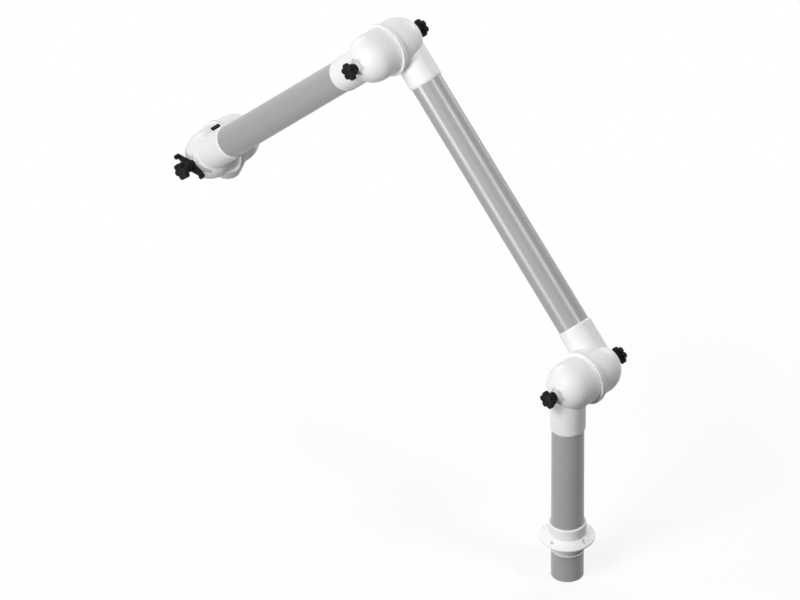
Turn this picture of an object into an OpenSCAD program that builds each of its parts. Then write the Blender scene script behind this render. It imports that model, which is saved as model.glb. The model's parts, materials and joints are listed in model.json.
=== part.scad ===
// Bench-mounted fume extraction arm: three tubes joined by three lockable elbows.
// Millimetres. The origin is the centre of the table flange's underside, and Z runs up the column.
// Each elbow is a front and a back shell that turn on a rod along Y, and air passes from one to
// the other. Column and forearm lie in the front plane, y = 0, the boom and the outlet behind it.

/* [Tubes] */
// Outside diameter of the three tubes
tube_d = 50; // [44:0.5:56]
// Wall thickness of the tubes
tube_wall = 1.5; // [1.2:0.1:2.5]
// Cut length of the column tube
column_tube_l = 305.5; // [240:0.5:600]
// How far the column tube hangs below the bench face
column_below = 68; // [40:1:100]
// Cut length of the boom tube, between the shoulder and the elbow
boom_tube_l = 500; // [300:5:800]
// Cut length of the forearm tube, between the elbow and the wrist
forearm_tube_l = 400; // [250:5:700]

/* [Pose, in degrees] */
// Rise of the boom above level
boom_rise = 45; // [15:1:90]
// Fall of the forearm below level
forearm_fall = 45; // [0:1:75]
// Fall of the outlet socket below level
outlet_fall = 66; // [0:1:90]
// Turn of the damper lever, from 0 when open to 90 when closed
damper_turn = 58; // [0:1:90]

/* [Elbow shells] */
// Wall of the round body of a shell
shell_wall = 2.5; // [2:0.1:3.5]
// How far the round body stands out past the tube sleeve, at the radius
body_margin = 10.85; // [9:0.05:16]
// Wall of the sleeve that holds a tube
sleeve_wall = 2.1; // [1.8:0.1:3.5]
// Depth to which a tube is pushed into its sleeve
socket_depth = 35; // [25:1:50]
// Length of the narrow neck between the round body and the end of the tube
neck_l = 1.5; // [1:0.1:6]
// How far the centre of the dome lies below the axis of the sleeve
dome_drop = 7; // [3:0.5:8]
// Thickness of the ring flange of one shell
ring_t = 3; // [2.2:0.1:5]
// How far the ring flange stands out from the round body
ring_out = 5; // [3.8:0.1:8]
// Room between the ring flange and the sleeve
ring_to_sleeve = 4.55; // [2:0.05:10]
// Length of the tapered rim of a sleeve
rim_l = 3; // [1:0.1:6]
// How far the tapered rim draws in, at the radius
rim_in = 1.2; // [0.4:0.1:1.4]

/* [Joint rods and bosses] */
// Diameter of a joint rod
rod_d = 8; // [6:0.5:9]
// Diameter of the boss at the top of the dome
boss_d = 18; // [17:0.5:22]
// How far the boss stands above the dome
boss_proud = 0.6; // [0.3:0.1:4.5]
// How far the boss reaches below the inside of the dome
boss_depth = 4.5; // [3.5:0.1:7]
// Outside diameter of the bush around a joint rod
bush_d = 11; // [10.5:0.1:13]
// Thickness of a friction washer
washer_t = 1; // [0.6:0.1:2]
// Height of a disc spring when clamped
spring_h = 0.9; // [0.8:0.1:1.5]
// Sheet thickness of a disc spring
spring_t = 0.5; // [0.3:0.1:0.6]

/* [Slide rings between the shells] */
// Gap between the two ring flanges
flange_gap = 0.6; // [0.4:0.1:1]
// Width of the slide ring in the radial direction
slide_w = 3; // [2:0.1:3.4]
// Depth of the slide ring's groove in each flange
slide_depth = 1.2; // [0.6:0.1:1.6]

/* [Star knobs] */
// Diameter over the lobes
knob_d = 28.4; // [26:0.2:34]
// Height of a knob
knob_h = 14.8; // [14:0.1:18]
// Number of lobes
knob_lobes = 6; // [5:1:7]
// Diameter of a lobe
lobe_d = 10; // [8:0.5:11]
// Depth of the hollows between the lobes
lobe_depth = 4.4; // [2:0.1:4.5]
// Diameter of the stem that bears on the disc spring
stem_d = 15; // [14.6:0.1:18]
// Height of that stem, below the lobes
stem_h = 7.4; // [3:0.1:9]
// Bevel around the outer face of a knob
knob_bevel = 1.4; // [0.5:0.1:2]
// Width of the brass insert over its corners
insert_d = 12; // [11.5:0.1:13]
// Length of the brass insert
insert_l = 11; // [8:0.5:12]

/* [Damper] */
// Length of the lever over both wings
lever_l = 58.4; // [50:0.1:68]
// Thickness of the lever's plate
lever_t = 3.3; // [2:0.1:4]
// Width of the lever across its middle
lever_mid_w = 19.2; // [17.6:0.1:26]
// Width of the lever at its tips
lever_tip_w = 6.2; // [5:0.1:10]
// Height of the turned-out tips above the dome side of the plate
lever_tip_h = 8.7; // [5:0.1:10]
// Thickness of the turned-out tips
lever_tip_t = 5.4; // [3:0.1:6]
// Bevel at the corners of the turned-out tips
lever_tip_bevel = 1.2; // [0.4:0.1:2.4]
// Height of the lever's plate above the foot of its hub
lever_lift = 1.7; // [0:0.1:4]
// Diameter of the lever's hub
lever_hub_d = 16.6; // [16:0.1:17.5]
// Height of the lever's hub
lever_hub_h = 10; // [8:0.5:16]
// Diameter of the hollow spindle
spindle_d = 12; // [11.5:0.1:12.6]
// Outside diameter of the spindle bush
spindle_bush_d = 15; // [14.2:0.1:16]
// Thickness of the damper blade
blade_t = 1.5; // [1:0.1:2.5]
// How far the blade laps over the edge of the air passage
blade_lap = 1.5; // [0.5:0.1:2.5]
// Thickness of the blade's web below the boss
web_t = 2.5; // [1.5:0.1:4]
// Length of the collar that holds the blade on the spindle
blade_collar_l = 6.7; // [5:0.1:10]
// Outside diameter of that collar
blade_collar_d = 17.2; // [15:0.1:20]

/* [Stop key on the wrist] */
// Length of the key along the joint axis
key_l = 15; // [8:0.5:18]
// Width of the key
key_w = 6; // [3:0.5:8]
// How far the key stands out of the shell
key_h = 3; // [2:0.1:4.5]
// How deep the key is let into the shell
key_sink = 1; // [0.5:0.1:1.4]

/* [Table flange] */
// How far the flange plate reaches beyond the upper collar, at the radius
plate_margin = 12.9; // [12:0.1:25]
// Thickness of the flange plate
flange_t = 3; // [2.5:0.1:6]
// Wall of the upper collar, around the swivel bush
upper_wall = 2; // [1.5:0.05:4]
// Height of the upper collar above the plate
upper_h = 26; // [12:0.5:40]
// Draft of the upper collar, at the radius
upper_draft = 0.7; // [0.1:0.1:1.2]
// Bevel around the top of the upper collar
upper_bevel = 1.4; // [0.4:0.1:1.4]
// Height to which the top of the plate rises, as a cone, at the foot of the upper collar
foot_h = 7.3; // [4:0.1:11]
// Distance of that cone from the edge of the plate
foot_inset = 0.7; // [0.6:0.1:1.4]
// Wall of the lower collar, which passes through the bench
lower_wall = 1.35; // [1.2:0.05:3]
// Depth of the lower collar below the plate
lower_h = 19.5; // [6:0.5:30]
// How far the screw holes lie beyond the upper collar, at the radius
screw_margin = 5.15; // [5:0.05:6.5]
// Diameter of a screw hole
screw_hole_d = 4.5; // [3:0.1:6]
// Diameter of the flat seat for a screw's head
screw_seat_d = 7.5; // [7:0.5:9.5]
// Number of screw holes
screw_holes = 4; // [3:1:8]
// Wall of the swivel bush
swivel_wall = 1.6; // [1.5:0.1:3]
// Height of the two snap rings that hold the column in the flange
snap_h = 1.6; // [1.2:0.1:2]
// How deep a snap ring sits in the tube's wall
snap_depth = 0.6; // [0.4:0.1:0.8]
// How far a snap ring stands out of the tube
snap_out = 1.2; // [0.9:0.1:1.4]

/* [Hidden] */
$fn = 64;

// Clearances: a pushed-in tube, a turning shaft, pieces that pass each other, and a glued seat
tube_fit = 0.05;
run_clear = 0.05;
free_clear = 0.3;
press_gap = 0.02;
// Overrun of every cut
cut = 1;

// Seals in the sleeves: their width, depth and distance from the rim
seal_w = 2.4;
seal_depth = 0.9;
seal_in = 12;

// Small bevels on the ring flanges, the table flange and the rods
ring_bevel = 0.5;
plate_bevel = 0.6;
rod_bevel = 0.8;

// Gap between the damper blade and the shell, and the snap clip below the blade
blade_clear = 0.8;
clip_t = 1;
clip_depth = 0.6;
clip_out = 1.2;
spindle_tail = 1.4;

// Tube, sleeve and passage radii
tube_r = tube_d / 2;
passage_r = tube_r - tube_wall;
socket_r = tube_r + tube_fit;
sleeve_r = socket_r + sleeve_wall;

// Round body of a shell, measured from the joint's middle plane along the joint axis
shell_r = sleeve_r + body_margin;
inner_r = shell_r - shell_wall;
ring_r = shell_r + ring_out;
ring_top = flange_gap / 2 + ring_t;
sleeve_offset = ring_top + ring_to_sleeve + sleeve_r;
dome_z = sleeve_offset - dome_drop;
socket_stop = shell_r + neck_l;
sleeve_reach = socket_stop + socket_depth;

// Boss, with its inner and outer face
boss_r = boss_d / 2;
boss_in = dome_z + inner_r - boss_depth;
boss_top = dome_z + shell_r + boss_proud;
rod_r = rod_d / 2;
rod_bore_r = rod_r + run_clear;

// Slide ring in the middle of the ring flange's face
slide_mid_r = (inner_r + ring_r) / 2;
slide_h = flange_gap + 2 * slide_depth;

// Heights of the knobs above the joint's middle plane
knob_seat = boss_top + washer_t + spring_h;
lever_z = boss_top + washer_t;
wrist_knob_seat = lever_z + lever_hub_h + washer_t + spring_h;
knob_core_r = knob_d / 2 - lobe_depth;

// Damper blade, a slice of a dome that follows the inside of the shell
spindle_r = spindle_d / 2;
blade_r = inner_r - blade_clear;
blade_in = (spindle_r + blade_collar_d / 2) / 2;
blade_low = sleeve_offset - passage_r - blade_lap;
web_top = boss_in - free_clear;
web_low = web_top - web_t;
blade_angle = 2 * asin((passage_r + blade_lap) / blade_r);
clip_z = web_top - blade_collar_l - clip_t - press_gap;

// Table flange
swivel_r = tube_r + run_clear;
pocket_r = swivel_r + swivel_wall;
upper_r = pocket_r + upper_wall;
upper_foot_r = upper_r + upper_draft;
flange_r = upper_foot_r + plate_margin;
cone_r = flange_r - foot_inset;
foot_r = upper_foot_r - upper_draft * foot_h / upper_h;
screw_circle_r = upper_foot_r + screw_margin;
// The screw's seat is level with the cone at its outer edge
seat_z = flange_t + foot_h * (cone_r - screw_circle_r - screw_seat_d / 2) / (cone_r - foot_r);
lower_bore_r = tube_r + free_clear;
lower_r = lower_bore_r + lower_wall;
flange_top = flange_t + upper_h;
// Undersides of the snap rings: one carries the column, the other keeps it from lifting out
snap_ring_z = [flange_t, -lower_h - free_clear - snap_h];

// Directions in the XZ plane, as angles from +X towards +Z, and the three joint centres
boom_dir = 180 - boom_rise;
forearm_dir = 180 + forearm_fall;
outlet_dir = 180 + outlet_fall;
down = -90;
boom_l = boom_tube_l + 2 * socket_stop;
forearm_l = forearm_tube_l + 2 * socket_stop;
function along(a) = [cos(a), 0, sin(a)];
shoulder = [0, sleeve_offset, column_tube_l - column_below + socket_stop];
elbow = shoulder + boom_l * along(boom_dir);
wrist = elbow + forearm_l * along(forearm_dir);

// Turn of each knob, in degrees, as they happen to stand
shoulder_turns = [1, 38];
elbow_turns = [15, 50];
wrist_turns = [42, 30];
// Where the stop key lies on the wrist's front shell, from the sleeve's direction
key_angle = 51;

// Places of the pieces. In a half's own frame the joint's middle plane is z = 0, Z points out
// along the joint axis, and X points along the sleeve, at angle a in the XZ plane.
module front_half(centre, a) {
    translate(centre) rotate([0, -a, 0]) rotate([90, 0, 0]) children();
}

module back_half(centre, a) {
    translate(centre) rotate([0, -a, 0]) rotate([-90, 0, 0]) children();
}

// Along the sleeve's axis, from the joint axis outwards
module in_sleeve() {
    translate([0, 0, sleeve_offset]) rotate([0, 90, 0]) children();
}

// Basic turned shapes
module ring(r_in, r_out, h) {
    difference() {
        cylinder(r = r_out, h = h);
        translate([0, 0, -cut]) cylinder(r = r_in, h = h + 2 * cut);
    }
}

module domed_outline(r, h) {
    square([r, h]);
    translate([0, h]) intersection() {
        circle(r = r);
        square([r, r]);
    }
}

// A disc from z1 to z2 whose outer edges are bevelled
module bevelled_outline(r, z1, z2, bevel) {
    polygon([[0, z1], [r - bevel, z1], [r, z1 + bevel], [r, z2 - bevel], [r - bevel, z2], [0, z2]]);
}

// One elbow shell: round body with a dome, ring flange, axle boss and tube sleeve
module shell_outside() {
    rotate_extrude() difference() {
        union() {
            domed_outline(shell_r, dome_z);
            square([boss_r, boss_top]);
            bevelled_outline(ring_r, flange_gap / 2, ring_top, ring_bevel);
        }
        translate([0, -cut]) square([ring_r + cut, flange_gap / 2 + cut]);
    }
    in_sleeve() {
        cylinder(r = sleeve_r, h = sleeve_reach - rim_l);
        translate([0, 0, sleeve_reach - rim_l])
            cylinder(r1 = sleeve_r, r2 = sleeve_r - rim_in, h = rim_l);
    }
}

module shell_inside(hub_bore_r) {
    rotate_extrude() difference() {
        translate([0, -cut]) domed_outline(inner_r, dome_z + cut);
        translate([0, boss_in]) square([boss_r, shell_r]);
    }
    // Groove of the slide ring
    translate([0, 0, -cut])
        ring(slide_mid_r - slide_w / 2 - free_clear, slide_mid_r + slide_w / 2 + free_clear,
             cut + flange_gap / 2 + slide_depth);
    cylinder(r = hub_bore_r, h = boss_top + cut);
    in_sleeve() {
        cylinder(r = passage_r, h = socket_stop + cut);
        translate([0, 0, socket_stop]) cylinder(r = socket_r, h = socket_depth + cut);
        translate([0, 0, sleeve_reach - seal_in])
            cylinder(r = socket_r + seal_depth, h = seal_w);
    }
}

module shell(hub_bore_r) {
    difference() {
        shell_outside();
        shell_inside(hub_bore_r);
    }
}

module sleeve_seal() {
    in_sleeve() translate([0, 0, sleeve_reach - seal_in])
        ring(tube_r + press_gap, socket_r + seal_depth - press_gap, seal_w);
}

module tube(l) {
    ring(passage_r, tube_r, l);
}

// A tube seen from a shell: it starts at the socket's stop
module tube_in_sleeve(l) {
    in_sleeve() translate([0, 0, socket_stop]) tube(l);
}

module slide_ring() {
    translate([0, 0, -slide_h / 2])
        ring(slide_mid_r - slide_w / 2, slide_mid_r + slide_w / 2, slide_h);
}

// A rod from -front to back along the joint axis, seen from the back half
module rod(front, back) {
    rotate_extrude() polygon([
        [0, -front], [rod_r - rod_bevel, -front], [rod_r, rod_bevel - front],
        [rod_r, back - rod_bevel], [rod_r - rod_bevel, back], [0, back]
    ]);
}

module rod_bush() {
    translate([0, 0, boss_in]) ring(rod_bore_r, bush_d / 2 - press_gap, boss_top - boss_in);
}

module friction_washer(z) {
    translate([0, 0, z]) ring(rod_r + free_clear, stem_d / 2, washer_t);
}

// A coned washer whose outer edge bears on the friction washer, its inner edge on the knob
module disc_spring(z) {
    r1 = rod_r + free_clear;
    r2 = stem_d / 2;
    translate([0, 0, z]) rotate_extrude() polygon([
        [r1, spring_h - spring_t], [r2, 0], [r2, spring_t], [r1, spring_h]
    ]);
}

// A star knob that stands on z = seat, with its hexagonal pocket for the brass insert
module knob(seat, turn) {
    translate([0, 0, seat]) rotate(turn) difference() {
        intersection() {
            union() {
                cylinder(r = stem_d / 2, h = knob_h);
                translate([0, 0, stem_h]) linear_extrude(knob_h - stem_h) knob_outline();
            }
            rotate_extrude() polygon([
                [0, 0], [knob_d / 2, 0], [knob_d / 2, knob_h - knob_bevel],
                [knob_d / 2 - knob_bevel, knob_h], [0, knob_h]
            ]);
        }
        translate([0, 0, -cut]) cylinder(d = insert_d, h = insert_l + cut, $fn = 6);
    }
}

module knob_outline() {
    circle(r = knob_core_r);
    for (i = [0 : knob_lobes - 1])
        rotate(i * 360 / knob_lobes) translate([knob_d / 2 - lobe_d / 2, 0]) circle(d = lobe_d);
}

module knob_insert(seat, turn) {
    translate([0, 0, seat]) rotate(turn) difference() {
        cylinder(d = insert_d, h = insert_l, $fn = 6);
        translate([0, 0, -cut]) cylinder(r = rod_bore_r, h = insert_l + 2 * cut);
    }
}

// Table flange, bush and column
module collar_outline() {
    polygon([
        [0, 0], [cone_r, 0], [cone_r, flange_t], [foot_r, flange_t + foot_h],
        [upper_r, flange_top - upper_bevel], [upper_r - upper_bevel, flange_top], [0, flange_top]
    ]);
}

module table_flange() {
    color("white") difference() {
        rotate_extrude() {
            bevelled_outline(flange_r, 0, flange_t, plate_bevel);
            collar_outline();
            translate([0, -lower_h]) square([lower_r, lower_h]);
        }
        translate([0, 0, -lower_h - cut]) cylinder(r = lower_bore_r, h = lower_h + flange_top);
        translate([0, 0, flange_t]) cylinder(r = pocket_r, h = upper_h + cut);
        for (i = [0 : screw_holes - 1])
            rotate(i * 360 / screw_holes) translate([screw_circle_r, 0, 0]) {
                translate([0, 0, -cut]) cylinder(d = screw_hole_d, h = seat_z + 2 * cut);
                translate([0, 0, seat_z]) cylinder(d = screw_seat_d, h = foot_h);
            }
    }
}

module swivel_bush() {
    color("ivory") translate([0, 0, flange_t + snap_h + free_clear])
        ring(swivel_r, pocket_r - press_gap, upper_h - snap_h - free_clear);
}

module column_tube() {
    color("darkgray") difference() {
        translate([0, 0, -column_below]) tube(column_tube_l);
        // Grooves of the snap rings
        for (z = snap_ring_z)
            translate([0, 0, z]) ring(tube_r - snap_depth, tube_r + cut, snap_h);
    }
}

module column_snap_rings() {
    color("silver") for (z = snap_ring_z)
        translate([0, 0, z]) ring(tube_r - snap_depth + press_gap, tube_r + snap_out, snap_h);
}

module column_seal() {
    color("dimgray") front_half(shoulder, down) sleeve_seal();
}

// Shoulder: the front shell stands on the column, the back shell carries the boom
module shoulder_front_shell() {
    color("white") front_half(shoulder, down) shell(rod_bore_r);
}

module shoulder_slide_ring() {
    color("ivory") front_half(shoulder, 0) slide_ring();
}

module shoulder_rod() {
    color("silver") back_half(shoulder, 0) rod(knob_seat + insert_l, knob_seat + insert_l);
}

module shoulder_friction_washers() {
    color("tan") {
        front_half(shoulder, 0) friction_washer(boss_top);
        back_half(shoulder, 0) friction_washer(boss_top);
    }
}

module shoulder_disc_springs() {
    color("silver") {
        front_half(shoulder, 0) disc_spring(boss_top + washer_t);
        back_half(shoulder, 0) disc_spring(boss_top + washer_t);
    }
}

module shoulder_back_shell() {
    color("white") back_half(shoulder, boom_dir) shell(bush_d / 2);
}

module shoulder_rod_bush() {
    color("goldenrod") back_half(shoulder, 0) rod_bush();
}

module shoulder_front_knob() {
    color("black") front_half(shoulder, 0) knob(knob_seat, shoulder_turns[0]);
}

module shoulder_front_insert() {
    color("gold") front_half(shoulder, 0) knob_insert(knob_seat, shoulder_turns[0]);
}

module shoulder_back_knob() {
    color("black") back_half(shoulder, 0) knob(knob_seat, shoulder_turns[1]);
}

module shoulder_back_insert() {
    color("gold") back_half(shoulder, 0) knob_insert(knob_seat, shoulder_turns[1]);
}

// Boom, from the shoulder's back shell to the elbow's back shell
module boom_tube() {
    color("darkgray") back_half(shoulder, boom_dir) tube_in_sleeve(boom_tube_l);
}

module boom_lower_seal() {
    color("dimgray") back_half(shoulder, boom_dir) sleeve_seal();
}

module boom_upper_seal() {
    color("dimgray") back_half(elbow, boom_dir + 180) sleeve_seal();
}

// Elbow: the back shell ends the boom, the front shell starts the forearm
module elbow_back_shell() {
    color("white") back_half(elbow, boom_dir + 180) shell(bush_d / 2);
}

module elbow_rod_bush() {
    color("goldenrod") back_half(elbow, 0) rod_bush();
}

module elbow_front_shell() {
    color("white") front_half(elbow, forearm_dir) shell(rod_bore_r);
}

module elbow_slide_ring() {
    color("ivory") front_half(elbow, 0) slide_ring();
}

module elbow_rod() {
    color("silver") back_half(elbow, 0) rod(knob_seat + insert_l, knob_seat + insert_l);
}

module elbow_friction_washers() {
    color("tan") {
        front_half(elbow, 0) friction_washer(boss_top);
        back_half(elbow, 0) friction_washer(boss_top);
    }
}

module elbow_disc_springs() {
    color("silver") {
        front_half(elbow, 0) disc_spring(boss_top + washer_t);
        back_half(elbow, 0) disc_spring(boss_top + washer_t);
    }
}

module elbow_front_knob() {
    color("black") front_half(elbow, 0) knob(knob_seat, elbow_turns[0]);
}

module elbow_front_insert() {
    color("gold") front_half(elbow, 0) knob_insert(knob_seat, elbow_turns[0]);
}

module elbow_back_knob() {
    color("black") back_half(elbow, 0) knob(knob_seat, elbow_turns[1]);
}

module elbow_back_insert() {
    color("gold") back_half(elbow, 0) knob_insert(knob_seat, elbow_turns[1]);
}

// Forearm, from the elbow's front shell to the wrist's front shell
module forearm_tube() {
    color("darkgray") front_half(elbow, forearm_dir) tube_in_sleeve(forearm_tube_l);
}

module forearm_upper_seal() {
    color("dimgray") front_half(elbow, forearm_dir) sleeve_seal();
}

module forearm_lower_seal() {
    color("dimgray") front_half(wrist, forearm_dir - 180) sleeve_seal();
}

// Wrist: the front shell ends the forearm and holds the damper, the back shell is the outlet
module key_block(clearance) {
    rotate(key_angle)
        translate([shell_r - key_sink - clearance, -key_w / 2 - clearance, ring_top + free_clear])
            cube([key_sink + key_h + clearance, key_w + 2 * clearance, key_l]);
}

module wrist_front_shell() {
    color("white") front_half(wrist, forearm_dir - 180) difference() {
        shell(spindle_bush_d / 2);
        key_block(press_gap);
    }
}

module stop_key() {
    color("black") front_half(wrist, forearm_dir - 180) key_block(0);
}

module wrist_slide_ring() {
    color("ivory") front_half(wrist, 0) slide_ring();
}

module wrist_back_shell() {
    color("white") back_half(wrist, outlet_dir) shell(rod_bore_r);
}

module wrist_rod() {
    color("silver") back_half(wrist, 0) rod(wrist_knob_seat + insert_l, knob_seat + insert_l);
}

module wrist_friction_washers() {
    color("tan") {
        front_half(wrist, 0) friction_washer(lever_z + lever_hub_h);
        back_half(wrist, 0) friction_washer(boss_top);
    }
}

module wrist_disc_springs() {
    color("silver") {
        front_half(wrist, 0) disc_spring(lever_z + lever_hub_h + washer_t);
        back_half(wrist, 0) disc_spring(boss_top + washer_t);
    }
}

module wrist_front_knob() {
    color("black") front_half(wrist, 0) knob(wrist_knob_seat, wrist_turns[0]);
}

module wrist_front_insert() {
    color("gold") front_half(wrist, 0) knob_insert(wrist_knob_seat, wrist_turns[0]);
}

module wrist_back_knob() {
    color("black") back_half(wrist, 0) knob(knob_seat, wrist_turns[1]);
}

module wrist_back_insert() {
    color("gold") back_half(wrist, 0) knob_insert(knob_seat, wrist_turns[1]);
}

// Damper in the wrist's front shell: a blade on a hollow spindle, turned by the lever
module spindle_bush() {
    color("ivory") front_half(wrist, 0) translate([0, 0, boss_in])
        ring(spindle_r + run_clear, spindle_bush_d / 2 - press_gap, boss_top - boss_in);
}

module damper_spindle() {
    color("silver") front_half(wrist, 0) difference() {
        translate([0, 0, clip_z - spindle_tail])
            ring(rod_bore_r, spindle_r, lever_z + lever_hub_h - clip_z + spindle_tail);
        translate([0, 0, clip_z]) ring(spindle_r - clip_depth, spindle_r + cut, clip_t);
    }
}

module blade_outline() {
    intersection() {
        union() {
            difference() {
                domed_outline(blade_r, dome_z);
                domed_outline(blade_r - blade_t, dome_z);
            }
            translate([0, web_low]) square([blade_r, web_t]);
        }
        domed_outline(blade_r, dome_z);
        translate([blade_in, blade_low]) square([blade_r, web_top - blade_low]);
    }
}

module damper_blade() {
    color("lightgray") front_half(wrist, forearm_dir - 180) {
        rotate(90 - damper_turn - blade_angle / 2)
            rotate_extrude(angle = blade_angle) blade_outline();
        translate([0, 0, web_top - blade_collar_l])
            ring(spindle_r + press_gap, blade_collar_d / 2, blade_collar_l);
    }
}

module spindle_clip() {
    color("silver") front_half(wrist, 0) translate([0, 0, clip_z])
        ring(spindle_r - clip_depth + press_gap, spindle_r + clip_out, clip_t);
}

module lever_washer() {
    color("tan") front_half(wrist, 0) translate([0, 0, boss_top])
        ring(spindle_r + free_clear, lever_hub_d / 2, washer_t);
}

module lever_tip() {
    w = lever_tip_w / 2;
    rotate([90, 0, 90]) linear_extrude(lever_tip_t) polygon([
        [-w, 0], [w, 0], [w, lever_tip_h - lever_tip_bevel], [w - lever_tip_bevel, lever_tip_h],
        [lever_tip_bevel - w, lever_tip_h], [-w, lever_tip_h - lever_tip_bevel]
    ]);
}

module damper_lever() {
    tip_x = lever_l / 2;
    color("black") front_half(wrist, forearm_dir - 180) rotate(-damper_turn)
        translate([0, 0, lever_z]) difference() {
            union() {
                translate([0, 0, lever_lift]) linear_extrude(lever_t) polygon([
                    [tip_x, -lever_tip_w / 2], [tip_x, lever_tip_w / 2], [0, lever_mid_w / 2],
                    [-tip_x, lever_tip_w / 2], [-tip_x, -lever_tip_w / 2], [0, -lever_mid_w / 2]
                ]);
                cylinder(d = lever_hub_d, h = lever_hub_h);
                for (side = [0, 180])
                    rotate(side) translate([tip_x - lever_tip_t, 0, lever_lift]) lever_tip();
            }
            translate([0, 0, -cut]) cylinder(r = spindle_r + press_gap, h = lever_hub_h + 2 * cut);
        }
}

table_flange();
swivel_bush();
column_tube();
column_snap_rings();
column_seal();
shoulder_front_shell();
shoulder_slide_ring();
shoulder_rod();
shoulder_friction_washers();
shoulder_disc_springs();
shoulder_back_shell();
shoulder_rod_bush();
shoulder_front_knob();
shoulder_front_insert();
shoulder_back_knob();
shoulder_back_insert();
boom_tube();
boom_lower_seal();
boom_upper_seal();
elbow_back_shell();
elbow_rod_bush();
elbow_front_shell();
elbow_slide_ring();
elbow_rod();
elbow_friction_washers();
elbow_disc_springs();
elbow_front_knob();
elbow_front_insert();
elbow_back_knob();
elbow_back_insert();
forearm_tube();
forearm_upper_seal();
forearm_lower_seal();
wrist_front_shell();
wrist_slide_ring();
stop_key();
wrist_back_shell();
wrist_rod();
wrist_friction_washers();
wrist_disc_springs();
wrist_front_knob();
wrist_front_insert();
wrist_back_knob();
wrist_back_insert();
spindle_bush();
damper_spindle();
damper_blade();
spindle_clip();
lever_washer();
damper_lever();
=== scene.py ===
import json
import math
import bpy
import bmesh
import numpy as np
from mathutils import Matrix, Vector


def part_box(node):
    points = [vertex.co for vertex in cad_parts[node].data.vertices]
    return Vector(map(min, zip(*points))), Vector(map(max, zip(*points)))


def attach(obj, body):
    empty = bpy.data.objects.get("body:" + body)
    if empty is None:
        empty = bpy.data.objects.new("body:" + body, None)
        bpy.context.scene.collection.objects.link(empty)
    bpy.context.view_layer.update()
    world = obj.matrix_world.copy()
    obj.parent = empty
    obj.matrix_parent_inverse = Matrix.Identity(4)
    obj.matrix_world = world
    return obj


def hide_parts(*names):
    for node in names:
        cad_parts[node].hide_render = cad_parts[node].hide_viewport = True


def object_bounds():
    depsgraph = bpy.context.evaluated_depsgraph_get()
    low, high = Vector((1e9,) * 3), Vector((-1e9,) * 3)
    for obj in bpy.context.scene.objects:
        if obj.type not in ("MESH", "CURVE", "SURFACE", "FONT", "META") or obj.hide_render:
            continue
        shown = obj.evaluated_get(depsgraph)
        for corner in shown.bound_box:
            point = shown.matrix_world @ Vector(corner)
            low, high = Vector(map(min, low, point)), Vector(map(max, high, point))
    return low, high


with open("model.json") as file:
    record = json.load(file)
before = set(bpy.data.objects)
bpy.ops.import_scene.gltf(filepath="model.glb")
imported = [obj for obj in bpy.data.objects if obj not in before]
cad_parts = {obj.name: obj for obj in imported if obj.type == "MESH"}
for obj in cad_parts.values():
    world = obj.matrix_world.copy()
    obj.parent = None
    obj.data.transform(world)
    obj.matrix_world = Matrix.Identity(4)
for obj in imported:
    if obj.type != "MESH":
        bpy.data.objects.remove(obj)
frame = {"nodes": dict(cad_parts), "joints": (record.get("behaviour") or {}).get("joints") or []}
cad_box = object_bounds()
nodes = frame["nodes"]
joints = {joint["name"]: joint for joint in frame["joints"]}

# Camera
# The photograph is a parallel view from the front right and above. A very long lens far away gives
# the same picture. The pixel is where the photograph shows the middle of the flange's underside.
PHOTO_WIDTH, PHOTO_HEIGHT = 800, 600
ORIGIN_PIXEL = (567.45, 536.19)
METRES_PER_PIXEL = 0.0015162
VIEW_TURN = math.radians(42.862)
VIEW_RISE = math.radians(35.297)
LENS = 1200
SENSOR = 36
CLIP_START = 1
VERTICAL = np.array([0, 0, 1])


def add_object(name, data):
    """A new object that shows data, linked into the scene."""
    added = bpy.data.objects.new(name, data)
    bpy.context.scene.collection.objects.link(added)
    return added


def aim(item, right, up, back, place):
    """Puts an object at place with its X, Y and Z axes along right, up and back. Blender takes plain
    lists column by column, so the matrix is handed over transposed."""
    matrix = np.eye(4)
    matrix[:3] = np.stack([right, up, back, place], 1)
    item.matrix_world = matrix.T.tolist()


view_right = np.array([math.cos(VIEW_TURN), math.sin(VIEW_TURN), 0])
view_level = np.array([math.sin(VIEW_TURN), -math.cos(VIEW_TURN), 0])
view_back = math.cos(VIEW_RISE) * view_level + math.sin(VIEW_RISE) * VERTICAL
view_up = np.cross(view_back, view_right)
centre_right = PHOTO_WIDTH / 2 - ORIGIN_PIXEL[0]
centre_up = ORIGIN_PIXEL[1] - PHOTO_HEIGHT / 2
view_centre = METRES_PER_PIXEL * (centre_right * view_right + centre_up * view_up)
camera_distance = LENS / SENSOR * PHOTO_WIDTH * METRES_PER_PIXEL
camera_data = bpy.data.cameras.new("camera")
camera_data.lens = LENS
camera_data.sensor_width = SENSOR
camera_data.clip_start = CLIP_START
camera_data.clip_end = 2 * camera_distance
camera = add_object("camera", camera_data)
aim(camera, view_right, view_up, view_back, view_centre + camera_distance * view_back)
bpy.context.scene.camera = camera

# Floor and backdrop
# A pale floor under the hose end of the column, which fades into a white backdrop. The camera and
# reflections see it near white with a soft shadow, and what it throws back on the arm is a dark grey.
FLOOR_RADIUS = 9
FLOOR_CORNERS = 96
FLOOR_GAP = 0.0002
FADE_START, FADE_END = 0.3, 1.1
SHADOW_SHARE = 0.2
FLOOR_SHOWN = (1, 1, 1, 1)
FLOOR_BOUNCE = (0.12, 0.12, 0.12, 1)
BACKDROP = (1, 1, 1, 1)
bpy.context.scene.view_settings.view_transform = "Standard"


def set_inputs(tree, node, values):
    """Sets a node's inputs, by name or number, each to a plain value or to a link from an output."""
    for socket, value in values.items():
        if isinstance(value, bpy.types.NodeSocket):
            tree.links.new(value, node.inputs[socket])
        else:
            node.inputs[socket].default_value = value
    return node


def add_node(tree, kind, values):
    """A new node of this kind with these inputs."""
    return set_inputs(tree, tree.nodes.new(kind), values)


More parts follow.
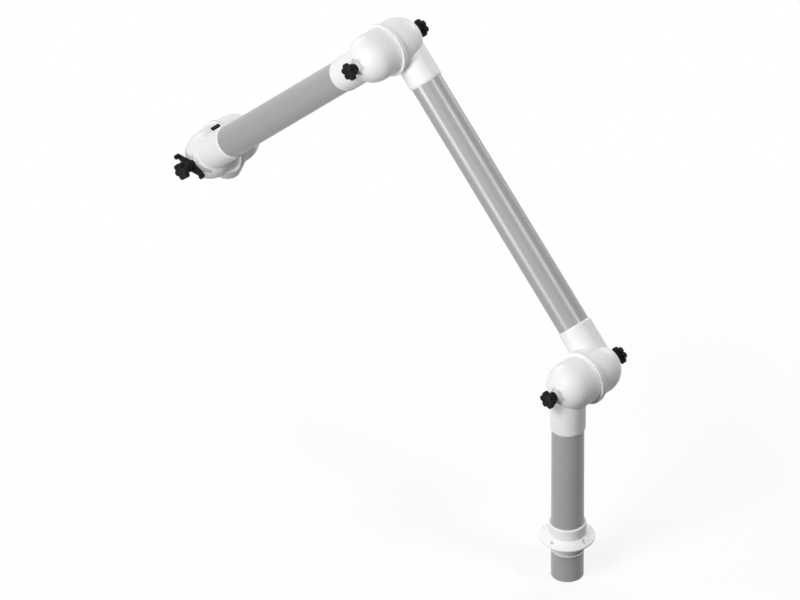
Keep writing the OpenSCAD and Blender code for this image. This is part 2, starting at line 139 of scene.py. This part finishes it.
def new_material(name):
    """A material with an empty node tree; returns both, and the output with Object coordinates."""
    material = bpy.data.materials.new(name)
    material.use_nodes = True
    tree = material.node_tree
    tree.nodes.clear()
    return material, tree, add_node(tree, "ShaderNodeTexCoord", {}).outputs["Object"]


def either(tree, first, second):
    """Output that is 1 where the first or the second is 1: their maximum."""
    node = tree.nodes.new("ShaderNodeMath")
    node.operation = "MAXIMUM"
    return set_inputs(tree, node, {0: first, 1: second}).outputs["Value"]


angles = np.linspace(0, 2 * math.pi, FLOOR_CORNERS, endpoint=False)
floor_points = np.stack([
    FLOOR_RADIUS * np.cos(angles),
    FLOOR_RADIUS * np.sin(angles),
    0 * angles + cad_box[0][2] - FLOOR_GAP,
], 1)
floor_mesh = bpy.data.meshes.new("floor")
floor_mesh.from_pydata(floor_points.tolist(), [], [list(range(FLOOR_CORNERS))])
floor = add_object("floor", floor_mesh)

floor_material, tree, place = new_material("floor")
reach = tree.nodes.new("ShaderNodeVectorMath")
reach.operation = "LENGTH"
set_inputs(tree, reach, {0: place})
fade = tree.nodes.new("ShaderNodeMapRange")
fade.interpolation_type = "SMOOTHSTEP"
set_inputs(tree, fade, {
    "Value": reach.outputs["Value"],
    "From Min": FADE_START,
    "From Max": FADE_END,
    "To Min": 1 - SHADOW_SHARE,
    "To Max": 1,
})
shown = add_node(tree, "ShaderNodeBsdfDiffuse", {"Color": FLOOR_SHOWN})
white = add_node(tree, "ShaderNodeEmission", {"Color": BACKDROP})
blended = add_node(tree, "ShaderNodeMixShader", {
    "Fac": fade.outputs["Result"],
    1: shown.outputs["BSDF"],
    2: white.outputs["Emission"],
})
bounce = add_node(tree, "ShaderNodeBsdfDiffuse", {"Color": FLOOR_BOUNCE})
rays = add_node(tree, "ShaderNodeLightPath", {}).outputs
chosen = add_node(tree, "ShaderNodeMixShader", {
    "Fac": either(tree, rays["Is Camera Ray"], rays["Is Glossy Ray"]),
    1: bounce.outputs["BSDF"],
    2: blended.outputs["Shader"],
})
add_node(tree, "ShaderNodeOutputMaterial", {"Surface": chosen.outputs["Shader"]})
floor_mesh.materials.append(floor_material)

# Studio light
# A softbox in front lights the arm, one low on the left and one on the right draw the streaks along the
# boom, and two behind light its back. The world gives a low even fill, so lower sides stay grey.
AMBIENT = 0.08
LAMP_DISTANCE = 3.2
LAMPS = {
    "key": {"towards": (-0.4, 0.25, 0.88), "size": 1.2, "level": 0.57},
    "left strip": {"towards": (-0.75, -0.36, 0.55), "size": 0.7, "level": 0.42},
    "right strip": {"towards": (0.6, 0.36, 0.71), "size": 0.6, "level": 0.24},
    "back right": {"towards": (0.55, 0.72, -0.42), "size": 1.6, "level": 0.42},
    "back left": {"towards": (-0.5, 0.75, -0.43), "size": 1.6, "level": 0.36},
}
world = bpy.data.worlds.new("studio")
bpy.context.scene.world = world
world.use_nodes = True
tree = world.node_tree
tree.nodes.clear()
rays = add_node(tree, "ShaderNodeLightPath", {}).outputs
seen = either(tree, rays["Is Camera Ray"], rays["Is Glossy Ray"])
fill = add_node(tree, "ShaderNodeBackground", {"Color": BACKDROP, "Strength": AMBIENT})
backdrop = add_node(tree, "ShaderNodeBackground", {"Color": BACKDROP, "Strength": 1})
blended = add_node(tree, "ShaderNodeMixShader", {
    "Fac": either(tree, seen, rays["Is Transmission Ray"]),
    1: fill.outputs["Background"],
    2: backdrop.outputs["Background"],
})
add_node(tree, "ShaderNodeOutputWorld", {"Surface": blended.outputs["Shader"]})

for name, lamp in LAMPS.items():
    right, up, back = lamp["towards"] / np.linalg.norm(lamp["towards"])
    direction = right * view_right + up * view_up + back * view_back
    side = np.cross(direction, VERTICAL)
    side = side / np.linalg.norm(side)
    data = bpy.data.lights.new(name, "AREA")
    data.size = lamp["size"]
    # A white surface that faces a lamp of pi squared times its distance squared, in watts, shows as white
    data.energy = lamp["level"] * (math.pi * LAMP_DISTANCE) ** 2
    lamp_place = view_centre + LAMP_DISTANCE * direction
    aim(add_object(name, data), side, np.cross(direction, side), direction, lamp_place)

# Table flange
# One white moulding: a round plate with four screw holes, a collar on a conical foot above it and a
# thinner collar below. All the white parts share its plastic, a smooth satin moulding.
WHITE = (0.91, 0.91, 0.905, 1)
WHITE_SHADED = (0.875, 0.88, 0.875, 1)
CLOUD_LOW, CLOUD_HIGH = 0.36, 0.64
PLASTIC_IOR = 1.49
PLASTIC_SHINE = 0.5
PLASTIC_BUMP = 0.5
# Sockets of a Mix node for colours, whose names repeat
MIX_FACTOR, MIX_FIRST, MIX_SECOND, MIX_RESULT = 0, 6, 7, 2


def new_group(name, inputs, outputs):
    """An empty node group, with the node that holds its inputs and the one that takes its outputs.
    inputs and outputs give each socket's name and type."""
    tree = bpy.data.node_groups.new(name, "ShaderNodeTree")
    for in_out, sockets in (("INPUT", inputs), ("OUTPUT", outputs)):
        for socket, kind in sockets.items():
            tree.interface.new_socket(name=socket, in_out=in_out, socket_type="NodeSocket" + kind)
    return tree, tree.nodes.new("NodeGroupInput"), tree.nodes.new("NodeGroupOutput")


def use_group(tree, group, values):
    """The outputs of a node that runs group with these inputs."""
    node = tree.nodes.new("ShaderNodeGroup")
    node.node_tree = group
    return set_inputs(tree, node, values).outputs


def noise(tree, vector, scale, detail, roughness=0.5):
    """Output of a noise texture, mostly between 0.3 and 0.7."""
    values = {"Vector": vector, "Scale": scale, "Detail": detail, "Roughness": roughness}
    return add_node(tree, "ShaderNodeTexNoise", values).outputs["Fac"]


def mapped(tree, value, low, high, from_low=0, from_high=1):
    """Output that runs from low to high while value runs from from_low to from_high, and stays there."""
    return add_node(tree, "ShaderNodeMapRange", {
        "Value": value,
        "From Min": from_low,
        "From Max": from_high,
        "To Min": low,
        "To Max": high,
    }).outputs["Result"]


def shade(tree, tone, dark, light, roughness, height, depth, bump, values):
    """Ends a material: a Principled surface whose colour goes from dark to light with tone, over a bump
    of the height times depth in metres. values sets its other inputs."""
    mix = tree.nodes.new("ShaderNodeMix")
    mix.data_type = "RGBA"
    set_inputs(tree, mix, {MIX_FACTOR: tone, MIX_FIRST: dark, MIX_SECOND: light})
    relief = add_node(tree, "ShaderNodeBump", {"Height": height, "Distance": depth, "Strength": bump})
    surface = add_node(tree, "ShaderNodeBsdfPrincipled", {
        "Base Color": mix.outputs[MIX_RESULT],
        "Roughness": roughness,
        "Normal": relief.outputs["Normal"],
        **values,
    })
    add_node(tree, "ShaderNodeOutputMaterial", {"Surface": surface.outputs["BSDF"]})


# A moulded surface: a fine spark-eroded grain as a height, and a slow cloud from 0 to 1 for the tone
moulding, start, end = new_group(
    "moulding",
    {"Vector": "Vector", "Grain Scale": "Float", "Cloud Scale": "Float"},
    {"Grain": "Float", "Cloud": "Float"},
)
given = start.outputs
cloud = noise(moulding, given["Vector"], given["Cloud Scale"], detail=4, roughness=0.6)
set_inputs(moulding, end, {
    "Grain": noise(moulding, given["Vector"], given["Grain Scale"], detail=3, roughness=0.55),
    "Cloud": mapped(moulding, cloud, 0, 1, CLOUD_LOW, CLOUD_HIGH),
})


def moulded(
    name, light, dark, roughness, grain_scale, grain_depth,
    cloud_scale=14, gloss_range=0.06, shine=PLASTIC_SHINE,
):
    """A moulded plastic: colour and roughness drift with the cloud, the grain is a small bump."""
    material, tree, place = new_material(name)
    texture = use_group(tree, moulding, {
        "Vector": place,
        "Grain Scale": grain_scale,
        "Cloud Scale": cloud_scale,
    })
    rough, smooth = roughness + gloss_range / 2, roughness - gloss_range / 2
    gloss = mapped(tree, texture["Cloud"], rough, smooth)
    shade(
        tree, texture["Cloud"], dark, light, gloss, texture["Grain"], grain_depth, PLASTIC_BUMP,
        {"IOR": PLASTIC_IOR, "Specular IOR Level": shine},
    )
    return material


def dress(material, *names):
    """Gives these CAD nodes one material."""
    for name in names:
        mesh = nodes[name].data
        mesh.materials.clear()
        mesh.materials.append(material)


white_plastic = moulded(
    "white plastic", WHITE, WHITE_SHADED,
    roughness=0.4, grain_scale=2600, grain_depth=0.00002, shine=0.25,
)
dress(white_plastic, "table_flange")

# Bushes and slide rings
# Turned from natural bearing plastic, slightly yellow. The swivel bush shows as a thin ring inside the
# flange's collar, where the column turns, and the slide rings as a line between the ring flanges.
JOINTS = ("shoulder", "elbow", "wrist")
BEARING = (0.82, 0.8, 0.73, 1)
BEARING_SHADED = (0.76, 0.74, 0.67, 1)
bearing_plastic = moulded(
    "bearing plastic", BEARING, BEARING_SHADED,
    roughness=0.45, grain_scale=1800, grain_depth=0.00002,
)
dress(bearing_plastic, "swivel_bush", "spindle_bush")
for joint in JOINTS:
    dress(bearing_plastic, joint + "_slide_ring")

# Tubes
# Drawn aluminium tube, satin anodised. The die leaves faint lines along the tube, so the texture is a
# noise that is drawn out along each tube's own axis.
ALUMINIUM = (0.36, 0.362, 0.365, 1)
ALUMINIUM_DARK = (0.32, 0.322, 0.325, 1)
TUBE_SHINE = 0.9
TUBE_SMOOTH, TUBE_ROUGH = 0.32, 0.38
TUBE_CLOUD_LOW, TUBE_CLOUD_HIGH = 0.3, 0.7
TUBE_AXES = {"column_tube": (0, 0, 1), "boom_tube": (-1, 0, 1), "forearm_tube": (-1, 0, -1)}
DRAWN_OUT = (1, 1, 0.012)
LINE_SCALE, BAND_SCALE, TUBE_CLOUD_SCALE = 900, 60, 18
LINE_DEPTH = 0.00001
LINE_BUMP = 0.6

drawing, start, end = new_group(
    "drawn lines",
    {"Vector": "Vector", "Fine Scale": "Float"},
    {"Lines": "Float", "Bands": "Float", "Cloud": "Float"},
)
given = start.outputs
along = add_node(drawing, "ShaderNodeMapping", {"Vector": given["Vector"], "Scale": DRAWN_OUT})
set_inputs(drawing, end, {
    "Lines": noise(drawing, along.outputs["Vector"], given["Fine Scale"], detail=4),
    "Bands": noise(drawing, along.outputs["Vector"], BAND_SCALE, detail=2),
    "Cloud": noise(drawing, given["Vector"], TUBE_CLOUD_SCALE, detail=5),
})


def anodised(name, axis):
    """Anodised tube whose drawn lines run along axis: the texture is turned until axis is its Z."""
    material, tree, place = new_material(name)
    turn = add_node(tree, "ShaderNodeMapping", {
        "Vector": place,
        "Rotation": (0, math.atan2(-axis[0], axis[2]), 0),
    })
    texture = use_group(tree, drawing, {"Vector": turn.outputs["Vector"], "Fine Scale": LINE_SCALE})
    gloss = mapped(
        tree, texture["Cloud"], TUBE_SMOOTH, TUBE_ROUGH, TUBE_CLOUD_LOW, TUBE_CLOUD_HIGH
    )
    shade(
        tree, texture["Bands"], ALUMINIUM_DARK, ALUMINIUM, gloss, texture["Lines"], LINE_DEPTH,
        LINE_BUMP, {"Specular IOR Level": TUBE_SHINE},
    )
    return material


for name, axis in TUBE_AXES.items():
    dress(anodised(name.replace("_", " "), axis), name)

# Snap rings, rods, springs, spindle and clip
# Small steel parts with a bright zinc coat: turned rods and stamped rings. The coned washers are black.
# Fine rings around the joint axis, which lies along Y, come from the tool and the polishing drum.
TOOL_RINGS = (60, 3000, 60)
RING_DEPTH = 0.00001
RING_BUMP = 0.5
METAL_CLOUD_SCALE = 90
METAL_GLOSS_RANGE = 0.14


def turned(name, light, dark, roughness):
    """A turned or tumbled metal: noise that changes fast along Y alone gives fine rings around it, and a
    cloud varies tone and roughness."""
    material, tree, place = new_material(name)
    rings = add_node(tree, "ShaderNodeMapping", {"Vector": place, "Scale": TOOL_RINGS})
    grooves = noise(tree, rings.outputs["Vector"], 1, detail=3)
    cloud = noise(tree, place, METAL_CLOUD_SCALE, detail=4)
    smooth, rough = roughness - METAL_GLOSS_RANGE / 2, roughness + METAL_GLOSS_RANGE / 2
    gloss = mapped(tree, cloud, smooth, rough)
    shade(tree, cloud, dark, light, gloss, grooves, RING_DEPTH, RING_BUMP, {"Metallic": 1})
    return material


zinc_steel = turned(
    "zinc steel", light=(0.62, 0.62, 0.6, 1), dark=(0.5, 0.5, 0.49, 1), roughness=0.28
)
black_steel = turned(
    "blackened steel", light=(0.05, 0.05, 0.05, 1), dark=(0.025, 0.025, 0.026, 1), roughness=0.45
)
dress(zinc_steel, "column_snap_rings", "damper_spindle", "spindle_clip")
for joint in JOINTS:
    dress(zinc_steel, joint + "_rod")
    dress(black_steel, joint + "_disc_springs")

# Rod bushes and knob inserts
# Sintered bronze bushes turn on the rods, and a hexagonal brass insert carries each knob's thread.
bronze = turned(
    "sintered bronze", light=(0.5, 0.34, 0.18, 1), dark=(0.38, 0.25, 0.13, 1), roughness=0.5
)
brass = turned("brass", light=(0.78, 0.58, 0.28, 1), dark=(0.68, 0.48, 0.22, 1), roughness=0.25)
dress(bronze, "shoulder_rod_bush", "elbow_rod_bush")
for joint in JOINTS:
    dress(brass, joint + "_front_insert", joint + "_back_insert")

# Friction washers
# Pressed black fibre discs between the knobs' springs and the shells, and one below the damper lever.
FIBRE = (0.035, 0.033, 0.03, 1)
FIBRE_DARK = (0.02, 0.019, 0.018, 1)
fibre = moulded(
    "pressed fibre", FIBRE, FIBRE_DARK,
    roughness=0.8, grain_scale=1500, grain_depth=0.00006, cloud_scale=160,
)
dress(fibre, "lever_washer")
for joint in JOINTS:
    dress(fibre, joint + "_friction_washers")

# Seals
# Soft black rubber lip rings near the mouth of every sleeve that holds a tube.
RUBBER = (0.02, 0.02, 0.02, 1)
RUBBER_DARK = (0.014, 0.014, 0.014, 1)
rubber = moulded(
    "seal rubber", RUBBER, RUBBER_DARK,
    roughness=0.7, grain_scale=900, grain_depth=0.00003,
)
dress(rubber, "column_seal")
for tube in ("boom", "forearm"):
    dress(rubber, tube + "_lower_seal", tube + "_upper_seal")

# Elbow shells
# Each joint is two white half elbows, moulded like the flange: a domed round body with a ring flange, a
# boss for the rod and a sleeve that a tube is pushed into.
for joint in JOINTS:
    dress(white_plastic, joint + "_front_shell", joint + "_back_shell")

# Star knobs
# Black moulded knobs with six lobes, one at each end of every joint rod. The outer face is dished, the
# edges are rounded, and a round stem below reaches down to the spring. Turns are in degrees.
BLACK = (0.005, 0.005, 0.0053, 1)
BLACK_WORN = (0.009, 0.009, 0.0094, 1)
FRONT, BACK = -1, 1
KNOB_TURNS = {
    "shoulder": {FRONT: 1, BACK: 38},
    "elbow": {FRONT: 15, BACK: 50},
    "wrist": {FRONT: 42, BACK: 30},
}
KNOB_COLUMNS = 216
LOBES = 6
LOBE_MIDDLE = 0.0092
LOBE_RADIUS = 0.005
CORE_RADIUS = 0.0092
HOLLOW_ROUNDING = 0.0003
KNOB_HEIGHT = 0.0148
STEM_RADIUS = 0.0075
STEM_HEIGHT = 0.0074
SEAT_ROUNDING = 0.0003
POCKET_RADIUS = 0.0062
POCKET_DEPTH = 0.0111
LOWER_ROUNDING = 0.0006
TOP_ROUNDING = 0.0012
# How far the lobes lean in at half and at full height
DRAFT_HALFWAY, DRAFT = 0.0001, 0.0002
DISH_RADIUS = 0.0068
DISH_ROUNDING = 0.0008
# Radius and depth of rings in the dished face, from outside to the middle
DISH_PROFILE = ((0.0062, 0.0007), (0.0034, 0.000805), (0, 0.00084))
black_plastic = moulded(
    "black plastic", BLACK_WORN, BLACK,
    roughness=0.5, grain_scale=2200, grain_depth=0.00004, cloud_scale=60, gloss_range=0.12, shine=0.1,
)


def arc(centre, radius, start, stop, steps):
    """Points on a circle's arc between two angles in degrees."""
    angle = np.radians(np.linspace(start, stop, steps))
    return [(centre[0] + radius * math.cos(a), centre[1] + radius * math.sin(a)) for a in angle]


def around_z(radius, height, angle):
    """Grid of points around Z: a row for each height and a column for each angle. radius has a row for
    each height too, with one number or with one for each angle."""
    height = np.reshape(height, (-1, 1)) + 0 * angle
    return np.stack([radius * np.cos(angle), radius * np.sin(angle), height], -1)


def skin(points, loop=False):
    """Closed skin over a grid of points. Columns close into rings. With loop the rows close too, and
    otherwise the first and the last ring are each one point, a pole. Returns vertices and faces."""
    rows, columns = points.shape[:2]
    index = np.arange(rows * columns).reshape(rows, columns)
    if loop:
        index = np.vstack([index, index[:1]])
    else:
        index[0] = index[0, 0]
        index[-1] = index[-1, 0]
    index = np.hstack([index, index[:, :1]])
    corners = [index[:-1, :-1], index[:-1, 1:], index[1:, 1:], index[1:, :-1]]
    return points.reshape(-1, 3), np.stack(corners, -1).reshape(-1, 4)


def add_piece(name, parts, body, slot, material, *replaced):
    """Builds one mesh from closed skins, merges the poles, turns the normals outwards, and sets its body,
    material and the CAD nodes it stands for. slot is not used."""
    work = bmesh.new()
    for vertices, quads in parts:
        corners = [work.verts.new(v) for v in vertices]
        for quad in quads:
            ring = list(dict.fromkeys(quad.tolist()))
            if len(ring) > 2:
                work.faces.new([corners[i] for i in ring])
    loose = [v for v in work.verts if not v.link_faces]
    bmesh.ops.delete(work, geom=loose, context="VERTS")
    bmesh.ops.recalc_face_normals(work, faces=work.faces)
    mesh = bpy.data.meshes.new(name)
    work.to_mesh(mesh)
    work.free()
    mesh.shade_smooth()
    mesh.materials.append(material)
    piece = add_object(name, mesh)
    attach(piece, body)
    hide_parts(*replaced)


def lobed(angle):
    """Radius of the knob's outline: the distance along a ray to the nearest lobe's circle and to the core
    circle, joined by a soft maximum, the logarithm of a sum of exponentials, that rounds the hollows."""
    off = (angle + math.pi / LOBES) % (2 * math.pi / LOBES) - math.pi / LOBES
    chord = np.sqrt(np.maximum(LOBE_RADIUS**2 - (LOBE_MIDDLE * np.sin(off)) ** 2, 0))
    lobe = LOBE_MIDDLE * np.cos(off) + chord
    total = np.exp(lobe / HOLLOW_ROUNDING) + np.exp(CORE_RADIUS / HOLLOW_ROUNDING)
    return HOLLOW_ROUNDING * np.log(total)


def knob_surface():
    """Grid of a knob around +Z from its seat: from the pocket's end down to the seat and up the stem, then
    up the lobes, then in over the dished face. Round rows are (radius, height) and lobed rows (inset,
    height), with the inset taken off the outline."""
    round_rows = [
        (0, POCKET_DEPTH),
        (POCKET_RADIUS, POCKET_DEPTH),
        (POCKET_RADIUS, SEAT_ROUNDING),
        (POCKET_RADIUS + SEAT_ROUNDING, 0),
    ]
    seat_centre = (STEM_RADIUS - SEAT_ROUNDING, SEAT_ROUNDING)
    round_rows += arc(seat_centre, SEAT_ROUNDING, -90, 0, steps=4)
    round_rows += [(STEM_RADIUS, STEM_HEIGHT)]
    lower_centre = (LOWER_ROUNDING, STEM_HEIGHT + LOWER_ROUNDING)
    upper_centre = (TOP_ROUNDING + DRAFT, KNOB_HEIGHT - TOP_ROUNDING)
    lobed_rows = arc(lower_centre, LOWER_ROUNDING, -90, -180, steps=7)
    lobed_rows += [(DRAFT_HALFWAY, (KNOB_HEIGHT + STEM_HEIGHT) / 2)]
    lobed_rows += arc(upper_centre, TOP_ROUNDING, 180, 90, steps=12)
    dish_centre = (DISH_RADIUS + DISH_ROUNDING, KNOB_HEIGHT - DISH_ROUNDING)
    top_rows = arc(dish_centre, DISH_ROUNDING, 90, 150, steps=5)
    top_rows += [(radius, KNOB_HEIGHT - depth) for radius, depth in DISH_PROFILE]
    angle = np.linspace(0, 2 * math.pi, KNOB_COLUMNS, endpoint=False)
    outline = lobed(angle)
    radius = [r + 0 * angle for r, _ in round_rows]
    radius += [outline - inset for inset, _ in lobed_rows]
    radius += [r + 0 * angle for r, _ in top_rows]
    height = [z for _, z in round_rows + lobed_rows + top_rows]
    return around_z(np.array(radius), height, angle)


def place_half(points, centre, angle, side):
    """Moves points from a half's own frame into the row's frame: Z goes out along the joint axis, to -Y on
    the FRONT or to +Y on the BACK, and X lies at angle, in degrees, from +X to +Z."""
    c, s = math.cos(math.radians(angle)), math.sin(math.radians(angle))
    x, y, z = points[..., 0], -side * points[..., 1], points[..., 2]
    return np.stack([centre[0] + c * x - s * y, centre[1] + side * z, centre[2] + s * x + c * y], -1)


knob = knob_surface()
for joint in JOINTS:
    centre = joints[joint]["pos_m"]
    for side, side_name in ((FRONT, "front"), (BACK, "back")):
        name = f"{joint}_{side_name}_knob"
        low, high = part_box(name)
        seat = low[1] - centre[1] if side == BACK else centre[1] - high[1]
        surface = place_half(knob + (0, 0, seat), centre, -side * KNOB_TURNS[joint][side], side)
        add_piece(name + "_moulding", [skin(surface)], name, "black_plastic", black_plastic, name)

# Stop key
# A small black block let into the wrist's front shell beside the ring flange, with all edges rounded.
# It lies along Y, at an angle in degrees around the wrist and between two distances from its axis.
KEY_ANGLE = 96
KEY_WIDTH = 0.006
KEY_LOW, KEY_HIGH = 0.037, 0.041
KEY_ROUNDING = 0.0004


def rounded_outline(corners, radii, steps):
    """Outline through the corners of a convex polygon, given anticlockwise, with each corner replaced by an
    arc of its radius: the arc's centre lies on the corner's bisector, at the radius from both sides."""
    corners = np.array(corners, float)
    points = []
    for i, radius in enumerate(radii):
        before, here, after = corners[i - 1], corners[i], corners[(i + 1) % len(corners)]
        first, second = here - before, after - here
        first, second = first / np.linalg.norm(first), second / np.linalg.norm(second)
        turn = math.acos(float(np.clip(first @ second, -1, 1)))
        centre = here - (first - second) / np.linalg.norm(first - second) * radius / math.cos(turn / 2)
        start = math.degrees(math.atan2(-first[0], first[1]))
        points += arc(centre, radius, start, start + math.degrees(turn), steps)
    return np.array(points)


def rounded_ends(low, high, rounding, steps):
    """Pairs (inset, height) from low to high along a side whose two end edges are quarter circles."""
    quarter = arc((rounding, rounding), rounding, 270, 180, steps)
    lower = [(inset, low + z) for inset, z in quarter]
    return lower + [(inset, high - z) for inset, z in quarter[::-1]]


def stacked(rows, middle):
    """Grid from rows of (outline, height), with a pole over the middle before and after them."""
    poles = [(middle + 0 * outline, z) for outline, z in (rows[0], rows[-1])]
    rows = [poles[0], *rows, poles[1]]
    return np.array([np.column_stack([outline, np.full(len(outline), z)]) for outline, z in rows])


wrist = joints["wrist"]["pos_m"]
low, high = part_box("stop_key")
key_size = np.array([KEY_HIGH - KEY_LOW, KEY_WIDTH])
key_corners = key_size / 2 * [(1, 1), (-1, 1), (-1, -1), (1, -1)]
section = rounded_outline(key_corners, 4 * [KEY_ROUNDING], steps=6)
profile = rounded_ends(wrist[1] - high[1], wrist[1] - low[1], KEY_ROUNDING, steps=6)
key_rows = [(section * (1 - 2 * inset / key_size), z) for inset, z in profile]
key = stacked(key_rows, section.mean(0)) + ((KEY_LOW + KEY_HIGH) / 2, 0, 0)
key = skin(place_half(key, wrist, KEY_ANGLE, FRONT))
add_piece("stop_key_block", [key], "forearm", "black_plastic", black_plastic, "stop_key")

# Damper blade
# A slice of a dome, moulded in grey plastic with its collar, that turns inside the wrist's front shell.
GREY = (0.42, 0.43, 0.44, 1)
GREY_DARK = (0.36, 0.37, 0.38, 1)
grey_plastic = moulded(
    "grey plastic", GREY, GREY_DARK,
    roughness=0.45, grain_scale=1800, grain_depth=0.00003,
)
dress(grey_plastic, "damper_blade")

# Damper lever
# One black moulding: a lozenge plate, a hub that carries it on the spindle, and a block turned outwards at
# each end for a finger. Every edge is rounded. The angle is in degrees.
LEVER_ANGLE = -13
LEVER_HALF = 0.0292
MIDDLE_HALF = 0.0096
PLATE_LOW, PLATE_HIGH = 0.0017, 0.005
TIP_HALF = 0.0031
TIP_HEIGHT = 0.0087
TIP_LENGTH = 0.0054
TIP_CORNER = 0.0012
EDGE = 0.0005
HUB_RADIUS = 0.0083
HUB_BORE = 0.00602
HUB_FILLET = 0.001
HUB_COLUMNS = 96


def slab(outline, low, high):
    """Grid of a slab from low to high over an outline: the outline is drawn in along its normals to round
    the edges, and each face closes in a pole."""
    normal = np.roll(outline, -1, 0) - np.roll(outline, 1, 0)
    normal = np.stack([normal[:, 1], -normal[:, 0]], 1)
    normal /= np.linalg.norm(normal, axis=1, keepdims=True)
    profile = rounded_ends(low, high, EDGE, steps=5)
    return stacked([(outline - inset * normal, z) for inset, z in profile], outline.mean(0))


def hub_surface(height):
    """Grid of the lever's hub, a profile around Z: bore, foot, wall, fillet onto the plate, rounded top."""
    profile = [(HUB_BORE, 0), (HUB_RADIUS - EDGE, 0)]
    profile += arc((HUB_RADIUS - EDGE, EDGE), EDGE, -90, 0, steps=5)
    profile += [(HUB_RADIUS, PLATE_LOW), (HUB_RADIUS + HUB_FILLET, PLATE_HIGH - EDGE)]
    profile += arc((HUB_RADIUS + HUB_FILLET, PLATE_HIGH + HUB_FILLET), HUB_FILLET, 270, 180, steps=8)
    profile += arc((HUB_RADIUS - EDGE, height - EDGE), EDGE, 0, 90, steps=5)
    profile += [(HUB_BORE + EDGE, height), (HUB_BORE, height - EDGE)]
    profile = np.array(profile)
    angle = np.linspace(0, 2 * math.pi, HUB_COLUMNS, endpoint=False)
    return around_z(profile[:, :1], profile[:, 1], angle)


low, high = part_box("damper_lever")
lever_foot = wrist[1] - high[1]
hub = hub_surface(high[1] - low[1])
lozenge = rounded_outline(
    [
        (LEVER_HALF, -TIP_HALF), (LEVER_HALF, TIP_HALF), (0, MIDDLE_HALF),
        (-LEVER_HALF, TIP_HALF), (-LEVER_HALF, -TIP_HALF), (0, -MIDDLE_HALF),
    ],
    (TIP_CORNER, TIP_CORNER, HUB_RADIUS, TIP_CORNER, TIP_CORNER, HUB_RADIUS),
    steps=12,
)
plate = slab(lozenge, PLATE_LOW, PLATE_HIGH)
# A tip is a slab across the lever's length: its outline lies in the plane of width and height
tip_outline = rounded_outline(
    [(-TIP_HALF, 0), (TIP_HALF, 0), (TIP_HALF, TIP_HEIGHT), (-TIP_HALF, TIP_HEIGHT)],
    (EDGE, EDGE, TIP_CORNER, TIP_CORNER),
    steps=8,
)
tip = slab(tip_outline, LEVER_HALF - TIP_LENGTH, LEVER_HALF)
tip = np.stack([tip[..., 2], tip[..., 0], PLATE_LOW + tip[..., 1]], -1)
other_tip = tip * (-1, -1, 1)
parts = []
for points, loop in ((plate, False), (tip, False), (other_tip, False), (hub, True)):
    placed = place_half(points + (0, 0, lever_foot), wrist, LEVER_ANGLE, FRONT)
    parts.append(skin(placed, loop))
add_piece("damper_lever_moulding", parts, "damper", "black_plastic", black_plastic, "damper_lever")
